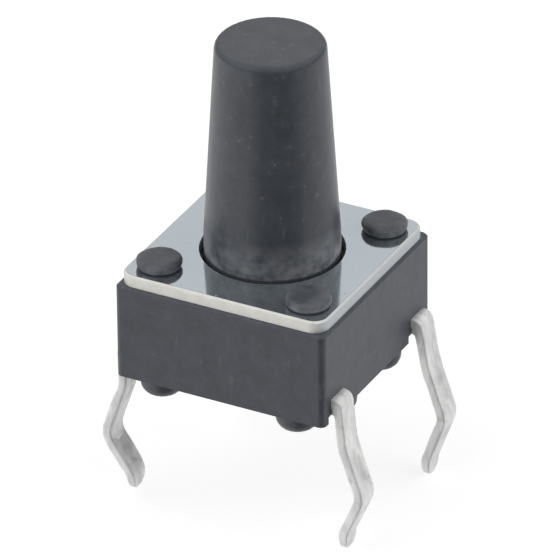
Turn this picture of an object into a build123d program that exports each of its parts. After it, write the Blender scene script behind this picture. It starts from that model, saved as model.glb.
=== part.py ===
"""Tactile push button switch for a circuit board: 6 mm square, 9.5 mm tall, four bent pins."""

import os

from build123d import *

# Driving dimensions in millimetres. The origin is on the board's top face, under the middle
# of the switch. Z points up along the button. The pins leave the two sides that face along X.

# Base moulding
base_side = 6.0
base_height = 2.67
base_corner_radius = 0.18
base_edge_chamfer = 0.06

# Feet that hold the base clear of the board
foot_height = 0.5
foot_diameter = 1.15
foot_rounding = 0.36
foot_inset = 0.01
plain_side_foot_from_corner = 1.05
pin_side_foot_from_corner = 1.75

# Notches that bare the foot of each pin
notch_width = 0.94
notch_height = 0.2
notch_depth = 0.4

# Round well for the button's flange, over a narrower pocket for the dome
well_diameter = 4.7
pocket_depth = 0.7
recess_diameter = 2.6

# Posts of the base, staked over the cover
post_spacing = 4.27
post_diameter = 0.8
head_diameter = 1.2
head_height = 0.32
head_widest_height = 0.17
head_bulge = 0.06
head_flat_diameter = 0.5

# Cover plate
cover_thickness = 0.33
cover_inset = 0.08
cover_corner_radius = 0.42
cover_edge_chamfer = 0.05
post_hole_clearance = 0.03

# Button
button_top_height = 9.5
button_diameter = 3.53
button_top_diameter = 2.86
button_straight_height = 0.5
button_rounding = 0.18
button_hole_clearance = 0.12
button_play = 0.02
flange_diameter = 4.4
flange_thickness = 0.8
plunger_diameter = 3.0
plunger_length = 0.5
nub_diameter = 1.2
nub_chamfer = 0.1

# Snap dome
dome_diameter = 3.7
dome_height = 0.38
dome_thickness = 0.07
dome_clearance = 0.08
travel = 0.25

# Terminals, each one stamped strip with two legs
strip_thickness = 0.25
strip_top_height = 1.15
pin_width = 0.7
pin_row_spacing = 4.5
tongue_width = 0.8
tongue_drop = 0.15
centre_pad_diameter = 1.4
centre_contact_diameter = 0.9
contact_chamfer = 0.06
arm_width = 0.6
arm_spacing = 3.5
arm_overshoot = 0.35

# Bends of a leg: how far its middle line stands out from the side of the base, and at what
# height, for the leg at the front right
root_reach = 0.17
knee_reach = 0.3
kink_reach = 0.79
ankle_reach = 0.28
tip_reach = 0.27
knee_height = -0.25
kink_height = -1.66
ankle_height = -2.85
tip_height = -3.3
shoulder_radius = 0.14
knee_radius = 1.2
kink_radius = 0.6
ankle_radius = 0.5

# Tip of a leg, narrowed and coined thinner for the board's hole
tip_width = 0.48
tip_thickness = 0.17
tip_narrowing_length = 0.7
tip_thinning_length = 0.3
tip_rounding = 0.22

# The other legs are bent a little in or out of that line, at the kink and at the foot
back_right_splay = 0.1
back_right_drop = 0.22
front_left_kink_set_in = 0.19
front_left_foot_set_in = 0.41
front_left_lift = 0.12
back_left_kink_set_in = 0.27
back_left_foot_set_in = 0.75
back_left_lift = 0.25

# Grooves pressed into a leg above its kink on the outside and below it on the inside. Their
# walls lean this many degrees from square.
groove_length = 0.85
groove_width = 0.3
groove_depth = 0.06
groove_wall_angle = 60

# Places worked out from the dimensions
half_side = base_side / 2
base_bottom = foot_height
base_top = base_bottom + base_height
cover_top = base_top + cover_thickness
strip_bottom = strip_top_height - strip_thickness
strip_middle = strip_top_height - strip_thickness / 2
tongue_top = strip_top_height - tongue_drop
pocket_top = strip_top_height + pocket_depth
pocket_diameter = dome_diameter + 2 * dome_clearance
dome_underside = strip_top_height + dome_height - dome_thickness
contact_height = dome_underside - travel - tongue_top
head_rim_radius = head_diameter / 2 - head_bulge
heel_height = strip_middle - base_bottom - notch_height
pin_row = pin_row_spacing / 2

# Feet, in the same pairs on opposite sides
foot_offset = half_side - foot_inset - foot_diameter / 2
plain_side_foot = half_side - plain_side_foot_from_corner
pin_side_foot = half_side - pin_side_foot_from_corner
foot_places = [(x * plain_side_foot, y * foot_offset) for x in (-1, 1) for y in (-1, 1)]
foot_places += [(x * foot_offset, y * pin_side_foot) for x in (-1, 1) for y in (-1, 1)]


def leg_points(kink_set_in, foot_set_in, lift):
    """Corners of a leg's middle line, for a leg on the right."""
    return [
        (half_side - notch_depth, strip_middle),
        (half_side + root_reach, strip_middle),
        (half_side + knee_reach - kink_set_in, knee_height),
        (half_side + kink_reach - kink_set_in, kink_height),
        (half_side + ankle_reach - foot_set_in, ankle_height + lift),
        (half_side + tip_reach - foot_set_in, tip_height + lift),
    ]


def leg_outline(row, tip):
    """A leg as seen along X: a straight strip that narrows to a rounded tip."""
    with BuildSketch(Plane.YZ) as outline:
        with BuildLine():
            Polyline(
                (row - pin_width / 2, base_top),
                (row - pin_width / 2, tip + tip_narrowing_length),
                (row - tip_width / 2, tip),
                (row + tip_width / 2, tip),
                (row + pin_width / 2, tip + tip_narrowing_length),
                (row + pin_width / 2, base_top),
                close=True,
            )
        make_face()
        fillet(outline.vertices().group_by(Axis.Y)[0], tip_rounding)
    return outline.sketch


def make_leg(row, direction, kink_set_in=0, foot_set_in=0, lift=0):
    """The bent leg of the strip at Y = row, on the right for a direction of 1 and left for -1."""
    corners = [(direction * x, z) for x, z in leg_points(kink_set_in, foot_set_in, lift)]
    knee, kink, ankle = (Vector(x, row, z) for x, z in corners[2:5])
    with BuildPart() as leg:
        with BuildSketch(Plane.XZ.offset(-row)):
            with BuildLine():
                FilletPolyline(
                    *corners, radius=[shoulder_radius, knee_radius, kink_radius, ankle_radius]
                )
            trace(line_width=strip_thickness)
            with Locations((direction * (half_side + root_reach / 2), strip_middle)):
                Rectangle(root_reach, heel_height, align=(Align.CENTER, Align.MAX))
        extrude(amount=pin_width / 2, both=True)
        tip = leg.faces().sort_by(Axis.Z)[0]
        thinning = (strip_thickness - tip_thickness) / 2
        chamfer(tip.edges().filter_by(Axis.Y), thinning, tip_thinning_length, reference=tip)
        extrude(leg_outline(row, tip_height + lift), amount=base_side, both=True, mode=Mode.INTERSECT)
        for start, end, outward in ((knee, kink, direction), (kink, ankle, -direction)):
            run = (end - start).normalized()
            face_normal = Vector(-run.Z, 0, run.X) * outward
            middle = (start + end) / 2 + face_normal * strip_thickness / 2
            with BuildSketch(Plane(middle, x_dir=run, z_dir=face_normal)):
                Rectangle(groove_length, groove_width)
            extrude(amount=-groove_depth, taper=groove_wall_angle, mode=Mode.SUBTRACT)
    return leg.part


def centre_strip():
    """Outline of the centre terminal's strip."""
    with BuildSketch(Plane.XY.offset(strip_bottom)) as outline:
        with Locations((0, -pin_row)):
            Rectangle(base_side, pin_width)
    return outline.sketch


def outer_strip():
    """Outline of the outer terminal's strip, with an arm to each side of the dome's rim."""
    with BuildSketch(Plane.XY.offset(strip_bottom)) as outline:
        with Locations((0, pin_row)):
            Rectangle(base_side, pin_width)
        with Locations((-arm_spacing / 2, pin_row), (arm_spacing / 2, pin_row)):
            Rectangle(arm_width, pin_row + arm_overshoot, align=(Align.CENTER, Align.MAX))
    return outline.sketch


def tongue():
    """Outline of the lowered tongue, from the centre terminal's strip to a round middle pad."""
    with BuildSketch(Plane.XY.offset(strip_bottom - tongue_drop)) as outline:
        with Locations((0, -pin_row - pin_width / 2)):
            Rectangle(tongue_width, pin_row + pin_width / 2, align=(Align.CENTER, Align.MIN))
        Circle(centre_pad_diameter / 2)
    return outline.sketch


def staked_post():
    """A post through the cover, its head spread to a low dome by the staking tool."""
    head_top = cover_top + head_height
    with BuildPart() as post:
        with BuildSketch(Plane.XZ):
            with BuildLine():
                shank = Polyline(
                    (0, head_top),
                    (0, base_top),
                    (post_diameter / 2, base_top),
                    (post_diameter / 2, cover_top),
                    (head_rim_radius, cover_top),
                )
                dome = Spline(
                    shank @ 1,
                    (head_diameter / 2, cover_top + head_widest_height),
                    (head_flat_diameter / 2, head_top),
                    tangents=((1, 2), (-1, 0)),
                )
                Line(dome @ 1, shank @ 0)
            make_face()
        revolve(axis=Axis.Z)
    return post.part


# Base: one moulding with the well, the feet, the notches and the staked posts
with BuildPart() as base:
    with BuildSketch(Plane.XY.offset(base_bottom)):
        RectangleRounded(base_side, base_side, base_corner_radius)
    extrude(amount=base_height)
    chamfer(base.faces().sort_by(Axis.Z)[-1].edges(), base_edge_chamfer)

    with BuildSketch(Plane.XY.offset(base_bottom)):
        with Locations(*foot_places):
            Circle(foot_diameter / 2)
    extrude(amount=-foot_height)
    fillet(base.edges().group_by(Axis.Z)[0], foot_rounding)

    with BuildSketch(Plane.XY.offset(pocket_top)):
        Circle(well_diameter / 2)
    extrude(amount=base_top - pocket_top, mode=Mode.SUBTRACT)
    with BuildSketch(Plane.XY.offset(strip_top_height)):
        Circle(pocket_diameter / 2)
    extrude(amount=pocket_depth, mode=Mode.SUBTRACT)
    with BuildSketch(Plane.XY.offset(tongue_top)):
        Circle(recess_diameter / 2)
    extrude(amount=tongue_drop, mode=Mode.SUBTRACT)

    with BuildSketch(Plane.XY.offset(base_bottom)):
        with GridLocations(base_side, pin_row_spacing, 2, 2):
            Rectangle(2 * notch_depth, notch_width)
    extrude(amount=notch_height, mode=Mode.SUBTRACT)

    # The plastic is moulded round the strips, which take their own room out of it
    for outline in (centre_strip(), outer_strip(), tongue()):
        extrude(outline, amount=strip_thickness, mode=Mode.SUBTRACT)

    with GridLocations(post_spacing, post_spacing, 2, 2):
        add(staked_post())

# Cover plate: stamped sheet, held by the four posts
with BuildPart() as cover_plate:
    cover_side = base_side - 2 * cover_inset
    with BuildSketch(Plane.XY.offset(base_top)):
        RectangleRounded(cover_side, cover_side, cover_corner_radius)
        Circle(button_diameter / 2 + button_hole_clearance, mode=Mode.SUBTRACT)
        with GridLocations(post_spacing, post_spacing, 2, 2):
            Circle(post_diameter / 2 + post_hole_clearance, mode=Mode.SUBTRACT)
    extrude(amount=cover_thickness)
    outline = cover_plate.faces().sort_by(Axis.Z)[-1].outer_wire()
    chamfer(outline.edges(), cover_edge_chamfer)

# Button: tapered stem, flange under the cover, plunger and nub on the dome
with BuildPart() as button:
    dome_top = strip_top_height + dome_height
    flange_top = base_top - button_play
    flange_bottom = flange_top - flange_thickness
    plunger_bottom = flange_bottom - plunger_length
    nub_bottom = dome_top + button_play
    with BuildSketch(Plane.XZ):
        with BuildLine():
            Polyline(
                (0, nub_bottom),
                (nub_diameter / 2, nub_bottom),
                (nub_diameter / 2, plunger_bottom),
                (plunger_diameter / 2, plunger_bottom),
                (plunger_diameter / 2, flange_bottom),
                (flange_diameter / 2, flange_bottom),
                (flange_diameter / 2, flange_top),
                (button_diameter / 2, flange_top),
                (button_diameter / 2, cover_top + button_straight_height),
                (button_top_diameter / 2, button_top_height),
                (0, button_top_height),
                close=True,
            )
        make_face()
    revolve(axis=Axis.Z)
    rims = button.edges().filter_by(GeomType.CIRCLE).group_by(Axis.Z)
    fillet(rims[-1], button_rounding)
    chamfer(rims[0], nub_chamfer)

# Snap dome: thin spherical cap that stands on the pads of the outer terminal
with BuildPart() as snap_dome:
    rim_radius = dome_diameter / 2
    outer_radius = (rim_radius**2 + dome_height**2) / (2 * dome_height)
    centre_height = strip_top_height + dome_height - outer_radius
    with Locations((0, 0, centre_height)):
        Sphere(outer_radius)
        Sphere(outer_radius - dome_thickness, mode=Mode.SUBTRACT)
    split(bisect_by=Plane.XY.offset(strip_top_height), keep=Keep.TOP)

# Centre terminal: strip, legs, and the lowered tongue with the centre contact
with BuildPart() as centre_terminal:
    extrude(centre_strip(), amount=strip_thickness)
    extrude(tongue(), amount=strip_thickness)
    add(make_leg(-pin_row, 1))
    add(make_leg(-pin_row, -1, front_left_kink_set_in, front_left_foot_set_in, front_left_lift))
    with BuildSketch(Plane.XY.offset(tongue_top)):
        Circle(centre_contact_diameter / 2)
    extrude(amount=contact_height)
    contact_rims = centre_terminal.edges().filter_by(GeomType.CIRCLE)
    chamfer(contact_rims.group_by(Axis.Z)[-1], contact_chamfer)

# Outer terminal: strip, legs, and two arms with pads under the rim of the dome
with BuildPart() as outer_terminal:
    extrude(outer_strip(), amount=strip_thickness)
    add(make_leg(pin_row, 1, -back_right_splay, -back_right_splay, -back_right_drop))
    add(make_leg(pin_row, -1, back_left_kink_set_in, back_left_foot_set_in, back_left_lift))

# Labels and STEP files
base.part.label = "base"
cover_plate.part.label = "cover_plate"
button.part.label = "button"
snap_dome.part.label = "snap_dome"
centre_terminal.part.label = "centre_terminal"
outer_terminal.part.label = "outer_terminal"

os.makedirs("parts", exist_ok=True)
export_step(base.part, "parts/base.step")
export_step(cover_plate.part, "parts/cover_plate.step")
export_step(button.part, "parts/button.step")
export_step(snap_dome.part, "parts/snap_dome.step")
export_step(centre_terminal.part, "parts/centre_terminal.step")
export_step(outer_terminal.part, "parts/outer_terminal.step")
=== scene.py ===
import math

import bpy
from mathutils import Matrix, Vector


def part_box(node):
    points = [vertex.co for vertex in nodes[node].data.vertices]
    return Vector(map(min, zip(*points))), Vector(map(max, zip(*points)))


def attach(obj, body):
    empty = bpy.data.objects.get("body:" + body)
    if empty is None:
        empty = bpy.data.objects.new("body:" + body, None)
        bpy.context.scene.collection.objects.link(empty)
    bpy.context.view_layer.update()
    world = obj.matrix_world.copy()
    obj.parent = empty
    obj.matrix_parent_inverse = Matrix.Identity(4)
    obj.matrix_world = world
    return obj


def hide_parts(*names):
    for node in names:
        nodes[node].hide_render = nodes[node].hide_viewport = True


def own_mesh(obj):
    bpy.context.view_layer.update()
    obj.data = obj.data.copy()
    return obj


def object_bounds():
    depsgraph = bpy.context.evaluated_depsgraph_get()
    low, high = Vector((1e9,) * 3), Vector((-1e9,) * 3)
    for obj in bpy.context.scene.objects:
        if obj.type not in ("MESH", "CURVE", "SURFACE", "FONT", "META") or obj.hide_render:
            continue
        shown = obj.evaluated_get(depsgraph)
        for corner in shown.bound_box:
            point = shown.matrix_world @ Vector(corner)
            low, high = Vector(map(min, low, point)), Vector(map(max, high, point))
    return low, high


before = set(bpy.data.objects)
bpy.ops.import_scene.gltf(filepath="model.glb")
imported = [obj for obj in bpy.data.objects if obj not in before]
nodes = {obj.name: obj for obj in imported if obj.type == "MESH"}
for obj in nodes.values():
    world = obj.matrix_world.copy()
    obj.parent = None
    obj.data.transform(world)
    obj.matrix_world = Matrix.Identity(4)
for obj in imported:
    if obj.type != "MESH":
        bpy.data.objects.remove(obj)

# Looks of a tactile push button switch: black moulded base and button, bright cover plate,
# silvered pins. Everything is in metres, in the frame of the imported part: the origin is on the
# circuit board's top face, under the middle of the switch, and the button points up along Z.

MM = 0.001
cad_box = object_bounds()
bpy.ops.object.select_all(action="DESELECT")

WHITE = (1, 1, 1, 1)
# Numbers of the sockets of a Mix node that mixes colours
FACTOR, FIRST, SECOND, MIXED = 0, 6, 7, 2


def colour(hex_value):
    """An sRGB hex colour as the linear colour that shaders take."""
    parts = [int(hex_value[i : i + 2], 16) / 255 for i in (1, 3, 5)]
    linear = [c / 12.92 if c <= 0.04045 else ((c + 0.055) / 1.055) ** 2.4 for c in parts]
    return (*linear, 1)


def grey(brightness):
    """A linear grey."""
    return (brightness, brightness, brightness, 1)


def new_material(name):
    """An empty material and its node tree."""
    material = bpy.data.materials.new(name)
    material.use_nodes = True
    tree = material.node_tree
    tree.nodes.clear()
    return material, tree


def add_node(tree, kind, inputs=None, **settings):
    """Adds a node. inputs gives, by an input's name or number, the output to link to it or the
    value to set. Settings are the node's own attributes, or its inputs where no attribute has
    the name."""
    node = tree.nodes.new(kind)
    for name, value in settings.items():
        if hasattr(node, name):
            setattr(node, name, value)
        else:
            node.inputs[name.replace("_", " ")].default_value = value
    for name, value in (inputs or {}).items():
        if isinstance(value, bpy.types.NodeSocket):
            tree.links.new(value, node.inputs[name])
        else:
            node.inputs[name].default_value = value
    return node


# Materials. A mark in a noise comes out about half as wide as the noise's cells.


def moulded_plastic(name, shade, light_shade, gloss, scuffed_and_lit, lump_height):
    """Black glass-filled nylon as moulded: a satin skin with a faint mottle, a fine grain, a
    few pale specks of dust and light rubbed marks. Between the two heights given it has pale
    patches, partly scuffs and partly painted light that the bright cover throws onto it, the
    lighter towards +X. Above the first of them it is lumpy, as the staking tool pressed it
    there."""
    material, tree = new_material(name)
    place = add_node(tree, "ShaderNodeTexCoord").outputs["Object"]

    # Flow marks of the melt, about 0.3 mm wide
    mottle_cell = 0.6 * MM
    mottle = add_node(
        tree,
        "ShaderNodeTexNoise",
        {"Vector": place},
        Scale=1 / mottle_cell,
        Detail=5,
        Roughness=0.8,
    )
    blend = add_node(
        tree,
        "ShaderNodeMapRange",
        {"Value": mottle.outputs["Fac"]},
        From_Min=0.3,
        From_Max=0.7,
    )
    body = add_node(
        tree,
        "ShaderNodeMix",
        {FACTOR: blend.outputs[0], FIRST: colour(shade), SECOND: colour(light_shade)},
        data_type="RGBA",
    )

    # Dust grains are near 0.03 mm. They are drawn 0.07 mm wide, as finer ones don't show.
    dust_cell = 0.15 * MM
    dust = add_node(
        tree, "ShaderNodeTexNoise", {"Vector": place}, Scale=1 / dust_cell, Detail=1
    )
    specks = add_node(
        tree,
        "ShaderNodeMapRange",
        {"Value": dust.outputs["Fac"]},
        From_Min=0.69,
        From_Max=0.83,
        To_Max=0.25,
    )
    dusty = add_node(
        tree,
        "ShaderNodeMix",
        {FACTOR: specks.outputs[0], FIRST: body.outputs[MIXED], SECOND: colour("#8f8e8a")},
        data_type="RGBA",
    )

    # Rubbed marks run up and down, 0.1 mm wide and five times as long
    rub_cell = 0.22 * MM
    along = add_node(tree, "ShaderNodeMapping", {"Vector": place}, Scale=(1, 1, 1 / 5))
    rub = add_node(
        tree,
        "ShaderNodeTexNoise",
        {"Vector": along.outputs[0]},
        Scale=1 / rub_cell,
        Detail=2,
    )
    marks = add_node(
        tree,
        "ShaderNodeMapRange",
        {"Value": rub.outputs["Fac"]},
        From_Min=0.66,
        From_Max=0.8,
        To_Max=0.16,
    )
    rubbed = add_node(
        tree,
        "ShaderNodeMix",
        {FACTOR: marks.outputs[0], FIRST: dusty.outputs[MIXED], SECOND: colour("#8a8b8e")},
        data_type="RGBA",
    )

    # Pale patches 0.2 mm across: partly scuffs, partly painted light thrown up from the bright
    # cover. They start sharply at the lower height and fade to the upper.
    low, high = scuffed_and_lit
    scuff_and_light_start = 0.05 * MM
    scuff_and_light_cell = 0.35 * MM
    parts = add_node(tree, "ShaderNodeSeparateXYZ", {"Vector": place})
    height = parts.outputs["Z"]
    above_first_height = add_node(
        tree, "ShaderNodeMapRange", {"Value": height}, From_Min=low, From_Max=low + scuff_and_light_start
    )
    fade = add_node(tree, "ShaderNodeMapRange", {"Value": height}, From_Min=high, From_Max=low)
    band = add_node(
        tree,
        "ShaderNodeMath",
        {0: above_first_height.outputs[0], 1: fade.outputs[0]},
        operation="MULTIPLY",
    )
    patches = add_node(
        tree, "ShaderNodeTexNoise", {"Vector": place}, Scale=1 / scuff_and_light_cell, Detail=4
    )
    patch = add_node(
        tree,
        "ShaderNodeMapRange",
        {"Value": patches.outputs["Fac"]},
        From_Min=0.3,
        From_Max=0.6,
    )
    # The patches are brighter towards +X: painted light from the lamp on that side, by way of
    # the cover.
    side = add_node(
        tree,
        "ShaderNodeMapRange",
        {"Value": parts.outputs["X"]},
        From_Min=0.8 * MM,
        From_Max=1.6 * MM,
        To_Min=0.7,
    )
    patches_and_side_light = add_node(
        tree,
        "ShaderNodeMath",
        {0: patch.outputs[0], 1: side.outputs[0]},
        operation="MULTIPLY",
    )
    scuff_and_cover_light = add_node(
        tree,
        "ShaderNodeMath",
        {0: band.outputs[0], 1: patches_and_side_light.outputs[0]},
        operation="MULTIPLY",
    )
    # The pale patches: partly scuffs, partly painted light from the cover
    worn_and_lit = add_node(
        tree,
        "ShaderNodeMix",
        {FACTOR: scuff_and_cover_light.outputs[0], FIRST: rubbed.outputs[MIXED], SECOND: colour("#94969a")},
        data_type="RGBA",
    )

    # The grain of the spark-eroded mould is about 0.01 mm and is drawn 0.025 mm wide
    grain_cell = 0.05 * MM
    grain = add_node(
        tree, "ShaderNodeTexNoise", {"Vector": place}, Scale=1 / grain_cell, Detail=2
    )
    bump = add_node(
        tree,
        "ShaderNodeBump",
        {"Height": grain.outputs["Fac"]},
        Strength=0.4,
        Distance=0.004 * MM,
    )

    # The staking tool leaves lumps about 0.3 mm across
    lump_cell = 0.55 * MM
    lumps = add_node(
        tree, "ShaderNodeTexNoise", {"Vector": place}, Scale=1 / lump_cell, Detail=1
    )
    rise = add_node(
        tree,
        "ShaderNodeMath",
        {0: lumps.outputs["Fac"], 1: above_first_height.outputs[0]},
        operation="MULTIPLY",
    )
    swell = add_node(
        tree,
        "ShaderNodeBump",
        {"Height": rise.outputs[0], "Normal": bump.outputs[0]},
        Strength=1,
        Distance=lump_height,
    )

    shader = add_node(
        tree,
        "ShaderNodeBsdfPrincipled",
        {"Base Color": worn_and_lit.outputs[MIXED], "Normal": swell.outputs[0]},
        Roughness=gloss,
        IOR=1.53,
    )
    add_node(tree, "ShaderNodeOutputMaterial", {"Surface": shader.outputs[0]})
    return material


def bright_sheet(name):
    """Bright tinned steel sheet, stamped: a cool hazy mirror on its rolled faces, and a sheared
    edge that is paler, warmer and scored up and down by the punch."""
    material, tree = new_material(name)
    coordinates = add_node(tree, "ShaderNodeTexCoord")
    place = coordinates.outputs["Object"]
    parts = add_node(tree, "ShaderNodeSeparateXYZ", {"Vector": coordinates.outputs["Normal"]})

    # The sheet lies level, so all that isn't level is its edge
    flat = add_node(tree, "ShaderNodeMath", {0: parts.outputs["Z"]}, operation="ABSOLUTE")
    edge = add_node(
        tree,
        "ShaderNodeMapRange",
        {"Value": flat.outputs[0]},
        From_Min=0.998,
        From_Max=0.93,
    )
    burr_cell = 0.3 * MM
    burr = add_node(
        tree,
        "ShaderNodeTexNoise",
        {"Vector": place},
        Scale=1 / burr_cell,
        Detail=5,
        Roughness=0.7,
    )
    shear = add_node(
        tree,
        "ShaderNodeMix",
        {FACTOR: burr.outputs["Fac"], FIRST: colour("#dad9d1"), SECOND: colour("#fbfaf6")},
        data_type="RGBA",
    )
    # The edges that face along X get a cooler, darker grey, as cool as the faces: painted shade,
    # as they catch less light than the front and back edges.
    x_facing_edge = add_node(tree, "ShaderNodeMath", {0: parts.outputs["X"]}, operation="ABSOLUTE")
    side = add_node(
        tree, "ShaderNodeMapRange", {"Value": x_facing_edge.outputs[0]}, From_Min=0.5, From_Max=0.9
    )
    rim = add_node(
        tree,
        "ShaderNodeMix",
        {FACTOR: side.outputs[0], FIRST: shear.outputs[MIXED], SECOND: colour("#c9ced2")},
        data_type="RGBA",
    )
    tint = add_node(
        tree,
        "ShaderNodeMix",
        {FACTOR: edge.outputs[0], FIRST: colour("#b4bcc2"), SECOND: rim.outputs[MIXED]},
        data_type="RGBA",
    )

    # Dust and burrs are 0.05 mm and are drawn 0.08 mm wide. They are dull as well as pale.
    dust_cell = 0.17 * MM
    dust = add_node(
        tree, "ShaderNodeTexNoise", {"Vector": place}, Scale=1 / dust_cell, Detail=1
    )
    specks = add_node(
        tree,
        "ShaderNodeMapRange",
        {"Value": dust.outputs["Fac"]},
        From_Min=0.71,
        From_Max=0.8,
        To_Max=0.35,
    )
    dusty = add_node(
        tree,
        "ShaderNodeMix",
        {FACTOR: specks.outputs[0], FIRST: tint.outputs[MIXED], SECOND: colour("#d3d5d5")},
        data_type="RGBA",
    )

    # The sheared edge is rougher than the faces and scatters part of the light
    haze = add_node(
        tree, "ShaderNodeMapRange", {"Value": edge.outputs[0]}, To_Min=0.09, To_Max=0.6
    )
    dull = add_node(
        tree,
        "ShaderNodeMath",
        {0: haze.outputs[0], 1: specks.outputs[0]},
        operation="ADD",
    )
    metal = add_node(
        tree, "ShaderNodeMapRange", {"Value": edge.outputs[0]}, To_Min=0.88, To_Max=0.45
    )

    # Scores of the shear are about 0.12 mm wide and 2.5 times as long up and down
    score_cell = 0.25 * MM
    stretch = add_node(tree, "ShaderNodeMapping", {"Vector": place}, Scale=(1, 1, 1 / 2.5))
    scores = add_node(
        tree,
        "ShaderNodeTexNoise",
        {"Vector": stretch.outputs[0]},
        Scale=1 / score_cell,
        Detail=4,
    )
    depth = add_node(
        tree,
        "ShaderNodeMath",
        {0: scores.outputs["Fac"], 1: edge.outputs[0]},
        operation="MULTIPLY",
    )
    bump = add_node(
        tree,
        "ShaderNodeBump",
        {"Height": depth.outputs[0]},
        Strength=0.5,
        Distance=0.03 * MM,
    )

    shader = add_node(
        tree,
        "ShaderNodeBsdfPrincipled",
        {
            "Base Color": dusty.outputs[MIXED],
            "Roughness": dull.outputs[0],
            "Metallic": metal.outputs[0],
            "Normal": bump.outputs[0],
        },
    )
    add_node(tree, "ShaderNodeOutputMaterial", {"Surface": shader.outputs[0]})
    return material


def plated_strip(name):
    """Matt silver plating on brass strip: soft pale metal, a little uneven where it was
    barrelled, that scatters part of the light."""
    material, tree = new_material(name)
    place = add_node(tree, "ShaderNodeTexCoord").outputs["Object"]

    # Streaks of the drawn strip, 0.15 mm wide and about three times as long
    streak_cell = 0.3 * MM
    along = add_node(tree, "ShaderNodeMapping", {"Vector": place}, Scale=(1, 1, 0.3))
    cloud = add_node(
        tree,
        "ShaderNodeTexNoise",
        {"Vector": along.outputs[0]},
        Scale=1 / streak_cell,
        Detail=4,
        Roughness=0.6,
    )
    streak = add_node(
        tree,
        "ShaderNodeMapRange",
        {"Value": cloud.outputs["Fac"]},
        From_Min=0.35,
        From_Max=0.65,
    )
    tint = add_node(
        tree,
        "ShaderNodeMix",
        {FACTOR: streak.outputs[0], FIRST: colour("#dadadb"), SECOND: colour("#fafaf8")},
        data_type="RGBA",
    )

    # Tarnish comes in rare brownish spots about 0.2 mm across
    spot_cell = 0.45 * MM
    spots = add_node(
        tree, "ShaderNodeTexNoise", {"Vector": place}, Scale=1 / spot_cell, Detail=2
    )
    rare = add_node(
        tree,
        "ShaderNodeMapRange",
        {"Value": spots.outputs["Fac"]},
        From_Min=0.63,
        From_Max=0.8,
        To_Max=0.5,
    )
    tarnished = add_node(
        tree,
        "ShaderNodeMix",
        {FACTOR: rare.outputs[0], FIRST: tint.outputs[MIXED], SECOND: colour("#a89f8e")},
        data_type="RGBA",
    )

    # The grain of the plating is under 0.01 mm and is drawn 0.06 mm wide
    grain_cell = 0.12 * MM
    grain = add_node(
        tree, "ShaderNodeTexNoise", {"Vector": place}, Scale=1 / grain_cell, Detail=3
    )
    bump = add_node(
        tree,
        "ShaderNodeBump",
        {"Height": grain.outputs["Fac"]},
        Strength=0.4,
        Distance=0.01 * MM,
    )

    shader = add_node(
        tree,
        "ShaderNodeBsdfPrincipled",
        {"Base Color": tarnished.outputs[MIXED], "Normal": bump.outputs[0]},
        Metallic=0.62,
        Roughness=0.56,
    )
    add_node(tree, "ShaderNodeOutputMaterial", {"Surface": shader.outputs[0]})
    return material


def assign(piece, material):
    """Gives every material slot of a piece this material."""
    if not piece.material_slots:
        piece.data.materials.append(material)
    for slot in piece.material_slots:
        slot.material = material


cover_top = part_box("cover_plate")[1][2]
# Just above the cover, the heads and the button's foot get pale patches: partly scuffs, partly
# painted light thrown up from the bright cover.
base_plastic = moulded_plastic(
    "base_nylon",
    shade="#383b42",
    light_shade="#474b53",
    gloss=0.42,
    scuffed_and_lit=(cover_top, cover_top + 0.36 * MM),
    lump_height=0.07 * MM,
)
button_plastic = moulded_plastic(
    "button_nylon",
    shade="#363a40",
    light_shade="#44484f",
    gloss=0.37,
    scuffed_and_lit=(cover_top, cover_top + 1.1 * MM),
    lump_height=0.01 * MM,
)
cover_steel = bright_sheet("cover_steel")
pin_silver = plated_strip("pin_silver")

# Pieces


def merged_copy(node):
    """A copy of a node's mesh with its loose triangles merged into whole faces, made active."""
    piece = nodes[node].copy()
    piece.data = nodes[node].data.copy()
    piece.name = node + "_finished"
    bpy.context.scene.collection.objects.link(piece)
    bpy.context.view_layer.objects.active = piece
    piece.select_set(True)
    bpy.ops.object.mode_set(mode="EDIT")
    bpy.ops.mesh.select_all(action="SELECT")
    bpy.ops.mesh.remove_doubles(threshold=0.0005 * MM)
    bpy.ops.mesh.dissolve_limited(angle_limit=math.radians(0.5))
    bpy.ops.mesh.normals_make_consistent(inside=False)
    bpy.ops.object.mode_set(mode="OBJECT")
    return piece


def round_edges(piece, radius, angle=40):
    """Rounds the active piece's edges that turn by more than an angle in degrees, and shades
    its flats flat and its curves smooth."""
    rounding = piece.modifiers.new("rounding", "BEVEL")
    rounding.width = radius
    rounding.segments = 3
    rounding.limit_method = "ANGLE"
    rounding.angle_limit = math.radians(angle)
    bpy.ops.object.modifier_apply(modifier="rounding")
    bpy.ops.object.shade_smooth_by_angle(angle=math.radians(angle))
    flats = piece.modifiers.new("flats", "WEIGHTED_NORMAL")
    flats.keep_sharp = True
    bpy.ops.object.modifier_apply(modifier="flats")


def dent(piece, size, depth, where=""):
    """Presses soft uneven dents into the active piece, or into one vertex group of it."""
    dents = bpy.data.textures.new("dents", "CLOUDS")
    dents.noise_scale = size
    dents.noise_depth = 1
    press = piece.modifiers.new("press", "DISPLACE")
    press.texture = dents
    press.texture_coords = "LOCAL"
    press.strength = depth
    press.mid_level = 0.5
    press.vertex_group = where
    bpy.ops.object.modifier_apply(modifier="press")


def soften_metal(piece, grain, depth):
    """Makes the active piece one soft skin, as a barrel of parts leaves thin strip: arrises
    rounded off and faces slightly dented."""
    skin = piece.modifiers.new("skin", "REMESH")
    skin.mode = "VOXEL"
    skin.voxel_size = grain
    bpy.ops.object.modifier_apply(modifier="skin")
    wear = piece.modifiers.new("wear", "SMOOTH")
    wear.factor = 0.5
    wear.iterations = 4
    bpy.ops.object.modifier_apply(modifier="wear")
    dent(piece, size=0.5 * MM, depth=depth)
    bpy.ops.object.shade_smooth()


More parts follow.
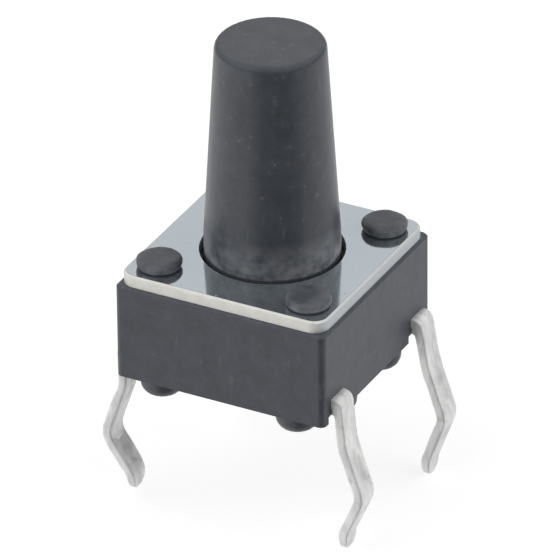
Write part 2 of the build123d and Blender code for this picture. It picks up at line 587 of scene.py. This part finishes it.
def nudge(piece, low, high, move, reach):
    """Moves the part of the active piece that lies between two corners, all in mm, and draws
    what is within reach of it along."""
    for vertex in piece.data.vertices:
        vertex.select = all(a * MM <= c <= b * MM for a, c, b in zip(low, vertex.co, high))
    bpy.ops.object.mode_set(mode="EDIT")
    bpy.ops.transform.translate(
        value=[step * MM for step in move],
        use_proportional_edit=True,
        use_proportional_connected=True,
        proportional_edit_falloff="SMOOTH",
        proportional_size=reach * MM,
    )
    bpy.ops.mesh.select_all(action="DESELECT")
    bpy.ops.object.mode_set(mode="OBJECT")


def stand_in(piece, node, body, material):
    """Puts a finished piece in a node's place, on its body and with its finish."""
    piece.select_set(False)
    assign(piece, material)
    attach(piece, body)
    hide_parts(node)


# The staking tool leaves the heads, which stand above the cover, uneven
base_piece = merged_copy("base")
head_foot = cover_top + 0.05 * MM
head_corners = [v.index for v in base_piece.data.vertices if v.co.z > head_foot]
heads = base_piece.vertex_groups.new(name="heads")
heads.add(head_corners, 1, "REPLACE")
dent(base_piece, size=0.45 * MM, depth=0.05 * MM, where="heads")
round_edges(base_piece, radius=0.05 * MM)
stand_in(base_piece, "base", "housing", base_plastic)

cover_piece = merged_copy("cover_plate")
round_edges(cover_piece, radius=0.05 * MM)
stand_in(cover_piece, "cover_plate", "housing", cover_steel)

button_piece = merged_copy("button")
round_edges(button_piece, radius=0.03 * MM)
stand_in(button_piece, "button", "button", button_plastic)

# The front left leg leaves the base closer in than the others, and the back left one is
# shorter
leg_nudges = {
    "centre_terminal": {
        "low": (-4, -3, 0.1),
        "high": (-3.15, -1, 1.5),
        "move": (0.1, 0, 0),
        "reach": 0.6,
    },
    "outer_terminal": {
        "low": (-4, 1, -4),
        "high": (0, 3, -2.8),
        "move": (0, 0, 0.12),
        "reach": 0.8,
    },
}
for node, leg_nudge in leg_nudges.items():
    terminal = merged_copy(node)
    soften_metal(terminal, grain=0.03 * MM, depth=0.03 * MM)
    nudge(terminal, **leg_nudge)
    stand_in(terminal, node, "housing", pin_silver)

# The snap dome is copied as it stands at rest, 0.38 mm high; in the switch it flattens
# under the button, which goes down 0.25 mm.
dome_piece = merged_copy("snap_dome")
bpy.ops.object.shade_smooth_by_angle(angle=math.radians(40))
stand_in(dome_piece, "snap_dome", "housing", cover_steel)
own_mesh(dome_piece)

# Floor: a matt sheet under the pins. The camera sees a darker sheet that glows, so that it
# comes out nearly white and its shadow faint.
floor_size = 1.2
floor_level = cad_box[0][2]
floor_glow = 0.76
bpy.ops.mesh.primitive_plane_add(size=floor_size, location=(0, 0, floor_level))
floor = bpy.context.object
floor.name = "floor"
floor.visible_glossy = False
bpy.ops.object.transform_apply(location=True)
material, tree = new_material("floor_paper")
camera_ray = add_node(tree, "ShaderNodeLightPath").outputs["Is Camera Ray"]
sheet = add_node(
    tree,
    "ShaderNodeMix",
    {FACTOR: camera_ray, FIRST: colour("#f4f4f4"), SECOND: colour("#a4a4a4")},
    data_type="RGBA",
)
paper = add_node(tree, "ShaderNodeBsdfDiffuse", {"Color": sheet.outputs[MIXED]})
lift = add_node(tree, "ShaderNodeMath", {0: camera_ray, 1: floor_glow}, operation="MULTIPLY")
glow = add_node(tree, "ShaderNodeEmission", {"Strength": lift.outputs[0]})
both = add_node(tree, "ShaderNodeAddShader", {0: paper.outputs[0], 1: glow.outputs[0]})
add_node(tree, "ShaderNodeOutputMaterial", {"Surface": both.outputs[0]})
assign(floor, material)

# A white room with an unlit side, which the glossy faces show. Headings are in degrees from
# -Y towards +X.
room_shades = ((-20, 1.0), (10, 0.14), (76, 0.14), (96, 0.86), (160, 0.86), (175, 1.0))
# The wall is darker just above the table, and the unlit side is lighter higher up. Heights
# are sines of the elevation.
wall_shades = ((0.0, 1.0), (0.04, 0.3), (0.24, 0.3), (0.42, 1.0))
lighter_from, lighter_to, lightest = 0.1, 0.3, 0.6
# What the room itself gives to matt faces, beside the lamps
room_light = 0.3


def shade_ramp(ramp, shades):
    """Puts greys, each at its place from 0 to 1, on a colour ramp that is white at its ends."""
    steps = ramp.color_ramp.elements
    steps[0].color = steps[1].color = WHITE
    for place, shade in shades:
        steps.new(place).color = grey(shade)


world = bpy.data.worlds.new("white_room")
bpy.context.scene.world = world
world.use_nodes = True
tree = world.node_tree
tree.nodes.clear()
coordinates = add_node(tree, "ShaderNodeTexCoord")
ray = add_node(tree, "ShaderNodeSeparateXYZ", {"Vector": coordinates.outputs["Object"]})
ahead = add_node(tree, "ShaderNodeMath", {0: ray.outputs["Y"], 1: -1}, operation="MULTIPLY")
heading = add_node(
    tree,
    "ShaderNodeMath",
    {0: ray.outputs["X"], 1: ahead.outputs[0]},
    operation="ARCTAN2",
)
turn = add_node(
    tree,
    "ShaderNodeMapRange",
    {"Value": heading.outputs[0]},
    From_Min=-math.pi,
    From_Max=math.pi,
)
room = add_node(tree, "ShaderNodeValToRGB", {"Fac": turn.outputs[0]})
shade_ramp(room, [(degrees / 360 + 0.5, shade) for degrees, shade in room_shades])
band = add_node(tree, "ShaderNodeValToRGB", {"Fac": ray.outputs["Z"]})
shade_ramp(band, wall_shades)
rise = add_node(
    tree,
    "ShaderNodeMapRange",
    {"Value": ray.outputs["Z"]},
    From_Min=lighter_from,
    From_Max=lighter_to,
    To_Max=lightest,
)
sides = add_node(
    tree,
    "ShaderNodeMix",
    {FACTOR: rise.outputs[0], FIRST: room.outputs["Color"], SECOND: WHITE},
    data_type="RGBA",
)
walls = add_node(
    tree,
    "ShaderNodeVectorMath",
    {0: sides.outputs[MIXED], 1: band.outputs["Color"]},
    operation="MULTIPLY",
)
path = add_node(tree, "ShaderNodeLightPath")
mirrored = add_node(
    tree,
    "ShaderNodeMix",
    {
        FACTOR: path.outputs["Is Glossy Ray"],
        FIRST: grey(room_light),
        SECOND: walls.outputs[0],
    },
    data_type="RGBA",
)
seen = add_node(
    tree,
    "ShaderNodeMix",
    {
        FACTOR: path.outputs["Is Camera Ray"],
        FIRST: mirrored.outputs[MIXED],
        SECOND: WHITE,
    },
    data_type="RGBA",
)
background = add_node(tree, "ShaderNodeBackground", {"Color": seen.outputs[MIXED]})
add_node(tree, "ShaderNodeOutputWorld", {"Surface": background.outputs[0]})


def direction(heading, elevation):
    """The direction at a heading, from -Y towards +X, and an elevation, both in radians."""
    return Vector(
        (
            math.sin(heading) * math.cos(elevation),
            -math.cos(heading) * math.cos(elevation),
            math.sin(elevation),
        )
    )


def lamp(name, heading, elevation, distance, size, brightness):
    """A square soft lamp at a heading and elevation in degrees, turned to the switch. It isn't
    mirrored in the glossy faces, which show the room instead."""
    towards = direction(math.radians(heading), math.radians(elevation))
    data = bpy.data.lights.new(name, "AREA")
    data.size = size
    data.energy = brightness * math.pi * size**2
    piece = bpy.data.objects.new(name, data)
    bpy.context.scene.collection.objects.link(piece)
    piece.location = towards * distance
    piece.rotation_euler = towards.to_track_quat("Z", "Y").to_euler()
    piece.visible_glossy = False


lamp("key_lamp", heading=-45, elevation=42, distance=0.35, size=0.44, brightness=1.35)
lamp("fill_lamp", heading=116, elevation=35, distance=0.3, size=0.36, brightness=1.3)

# Camera at the photograph's angle, rolled by half a degree as the photograph is
azimuth = math.radians(27.76)
elevation = math.radians(30.27)
roll = math.radians(0.54)
distance = 0.231
pixels_per_metre = 39010
image_width = 560
sensor_width = 36
target = Vector((0, 0, 2.5 * MM))
target_pixel = (272.9, 281.15)
back = direction(azimuth, elevation)
level = Vector((math.cos(azimuth), math.sin(azimuth), 0))
right = (Matrix.Rotation(-roll, 3, back) @ level).normalized()
up = back.cross(right)
middle = image_width / 2
aim = target + right * (middle - target_pixel[0]) / pixels_per_metre
aim = aim - up * (middle - target_pixel[1]) / pixels_per_metre
data = bpy.data.cameras.new("camera")
data.sensor_width = sensor_width
data.lens = pixels_per_metre * distance / image_width * sensor_width
data.clip_start = 0.01
camera = bpy.data.objects.new("camera", data)
bpy.context.scene.collection.objects.link(camera)
camera.location = aim + back * distance
camera.rotation_euler = Matrix((right, up, back)).transposed().to_euler()
bpy.context.scene.camera = camera
bpy.context.scene.view_settings.view_transform = "Standard"
